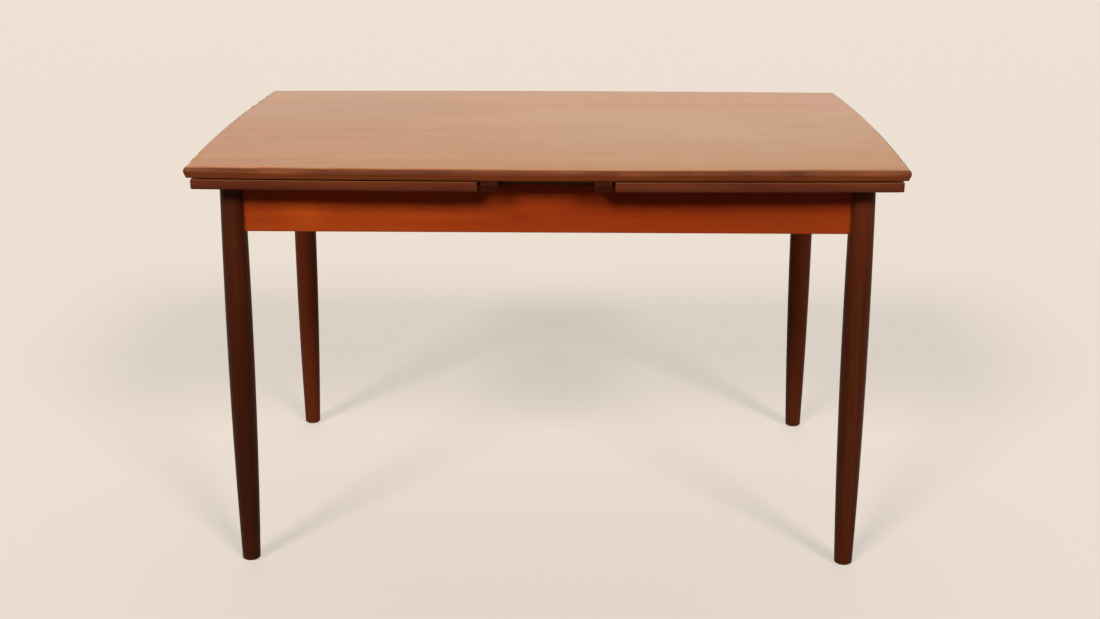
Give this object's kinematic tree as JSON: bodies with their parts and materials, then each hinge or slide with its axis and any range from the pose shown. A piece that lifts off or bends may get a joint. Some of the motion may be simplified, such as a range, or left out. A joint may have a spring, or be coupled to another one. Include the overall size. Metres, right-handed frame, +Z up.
{
  "type": "extending dining table",
  "caption": "Oblong wooden dining table with softly bowed edges, round tapered legs, a loose lift-off top and a draw leaf stored under each end on sliding bearers.",
  "frame": {"origin": "on the floor, under the middle of the table", "axes": "+X along the length, towards the right leaf; +Y from the front towards the back; +Z up"},
  "size_m": [1.22, 0.87, 0.73],
  "materials": {
    "teak_veneer": "oiled satin, fine grain along the length",
    "teak_lipping": "oiled solid teak, rounded and worn at the arrises",
    "teak_apron": "lacquered orange-brown teak",
    "dark_teak_leg": "dark stained, turned, satin",
    "teak_rail": "plain planed",
    "beech": "plain planed, waxed where it slides",
    "bolt_steel": "zinc plated",
    "screw_steel": "plain steel",
    "glide_steel": "nickel plated, scuffed",
    "felt": "pressed wool felt"
  },
  "bodies": {
    "frame": {"front_apron": "teak_apron", "rear_apron": "teak_apron", "left_end_apron": "teak_apron", "right_end_apron": "teak_apron", "front_left_leg": "dark_teak_leg", "front_right_leg": "dark_teak_leg", "rear_left_leg": "dark_teak_leg", "rear_right_leg": "dark_teak_leg", "front_left_glide": "glide_steel", "front_right_glide": "glide_steel", "rear_left_glide": "glide_steel", "rear_right_glide": "glide_steel", "front_left_corner_block": "beech", "front_right_corner_block": "beech", "rear_left_corner_block": "beech", "rear_right_corner_block": "beech", "left_cross_rail": "teak_rail", "right_cross_rail": "teak_rail", "hanger_bolts": "bolt_steel", "bolt_washers": "bolt_steel", "bolt_nuts": "bolt_steel", "corner_block_screws": "screw_steel", "rail_screws": "screw_steel", "front_felt_strips": "felt", "rear_felt_strips": "felt", "rail_felt_pads": "felt"},
    "left_leaf": {"left_leaf_panel": "teak_veneer", "left_leaf_front_lipping": "teak_lipping", "left_leaf_rear_lipping": "teak_lipping", "left_leaf_outer_lipping": "teak_lipping", "left_leaf_inner_lipping": "teak_lipping", "left_leaf_front_bearer": "beech", "left_leaf_rear_bearer": "beech", "left_leaf_stop_pegs": "beech", "left_leaf_bearer_screws": "screw_steel"},
    "right_leaf": {"right_leaf_panel": "teak_veneer", "right_leaf_front_lipping": "teak_lipping", "right_leaf_rear_lipping": "teak_lipping", "right_leaf_outer_lipping": "teak_lipping", "right_leaf_inner_lipping": "teak_lipping", "right_leaf_front_bearer": "beech", "right_leaf_rear_bearer": "beech", "right_leaf_stop_pegs": "beech", "right_leaf_bearer_screws": "screw_steel"},
    "top": {"top_panel": "teak_veneer", "top_front_lipping": "teak_lipping", "top_rear_lipping": "teak_lipping", "top_left_lipping": "teak_lipping", "top_right_lipping": "teak_lipping", "top_guide_pegs": "beech"}
  },
  "joints": [
    {"name": "left_leaf_slide", "type": "slide", "parent": "frame", "child": "left_leaf", "axis": [-1, 0, 0], "range_m": [0, 0.487]},
    {"name": "right_leaf_slide", "type": "slide", "parent": "frame", "child": "right_leaf", "axis": [1, 0, 0], "range_m": [0, 0.487]},
    {"name": "top_lift", "type": "slide", "parent": "frame", "child": "top", "axis": [0, 0, 1], "range_m": [0, 0.06]}
  ]
}
